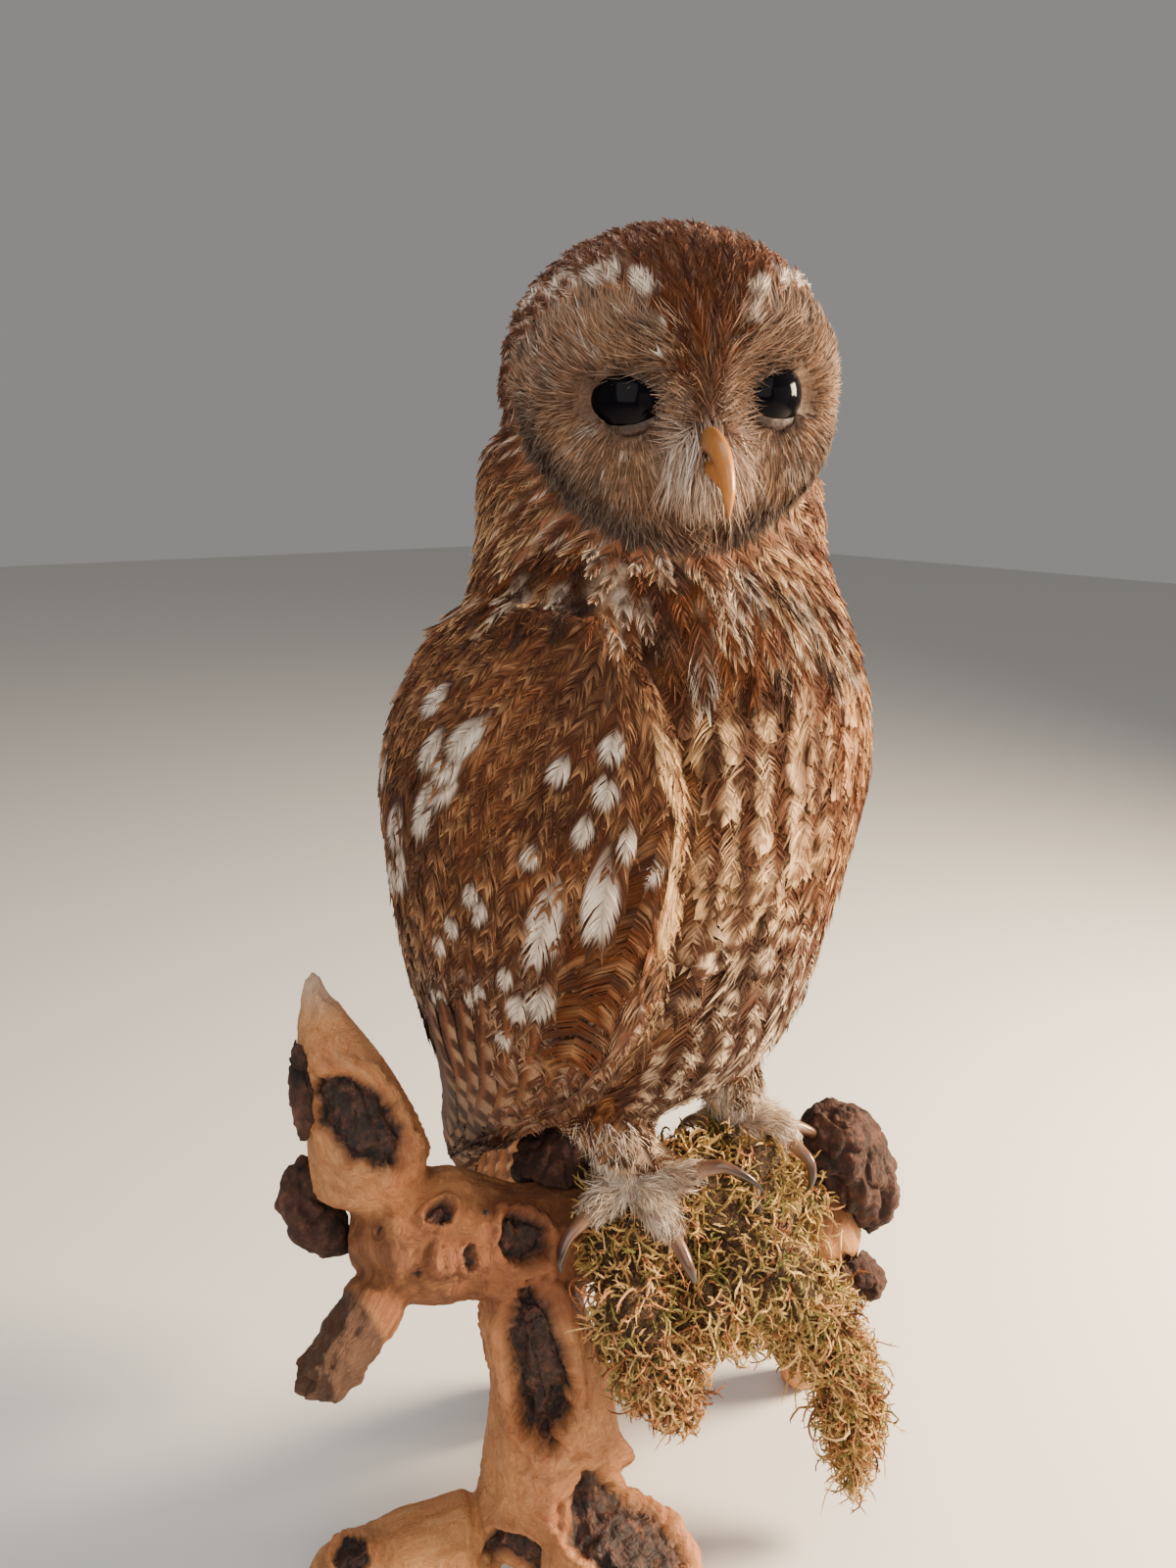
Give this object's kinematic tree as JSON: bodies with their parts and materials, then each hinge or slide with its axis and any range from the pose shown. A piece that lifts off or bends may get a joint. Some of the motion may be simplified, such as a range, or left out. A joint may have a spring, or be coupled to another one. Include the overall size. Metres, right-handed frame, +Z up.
{
  "type": "taxidermy tawny owl on a driftwood root",
  "caption": "Life-size mounted tawny owl with closed wings, looking to its right, gripping a mossy sandblasted driftwood root that stands on its own feet",
  "frame": {"origin": "centre of the bounding box in plan, at the level of the table that the root stands on", "axes": "+Z up, the owl's body faces -Y, its own left is +X; the head looks toward its own right"},
  "size_m": [0.2296, 0.1664, 0.4494],
  "materials": {
    "head_plumage": "soft brown and grey-brown feathers with white flecks",
    "breast_plumage": "cream feathers with dark brown shaft streaks and bars",
    "wing_plumage": "chestnut brown feathers with white spots and barred flight feathers",
    "leg_plumage": "short buff-white feathering",
    "glass_eye": "polished near-black glass",
    "bill_horn": "ochre horn, satin",
    "claw_horn": "dark brown horn, glossy",
    "root_wood": "sandblasted orange-tan wood with fine grain",
    "root_bark": "dark crumbly bark",
    "moss": "dried olive to orange-brown sheet moss"
  },
  "bodies": {
    "root": {"head": "head_plumage", "neck": "head_plumage", "trunk": "breast_plumage", "eye_left": "glass_eye", "eye_right": "glass_eye", "bill_upper": "bill_horn", "bill_lower": "bill_horn", "wing_right": "wing_plumage", "wing_left": "wing_plumage", "tail": "wing_plumage", "leg_right": "leg_plumage", "foot_right": "leg_plumage", "claw_right_middle": "claw_horn", "claw_right_inner": "claw_horn", "claw_right_outer": "claw_horn", "claw_right_hind": "claw_horn", "leg_left": "leg_plumage", "foot_left": "leg_plumage", "claw_left_middle": "claw_horn", "claw_left_inner": "claw_horn", "claw_left_outer": "claw_horn", "claw_left_hind": "claw_horn", "root_beam": "root_wood", "root_post": "root_wood", "root_prong": "root_wood", "root_stub": "root_bark", "root_foot_left": "root_wood", "root_foot_front": "root_wood", "root_leg_back": "root_wood", "root_leg_right": "root_wood", "root_ridge": "root_bark", "root_knob": "root_bark", "root_spur": "root_wood", "root_bark": "root_bark", "root_strip": "root_bark", "root_bark_left": "root_bark", "moss_mound": "moss", "moss_skirt_left": "moss", "moss_skirt_middle": "moss", "moss_skirt_right": "moss", "moss_tail": "moss"}
  },
  "joints": []
}
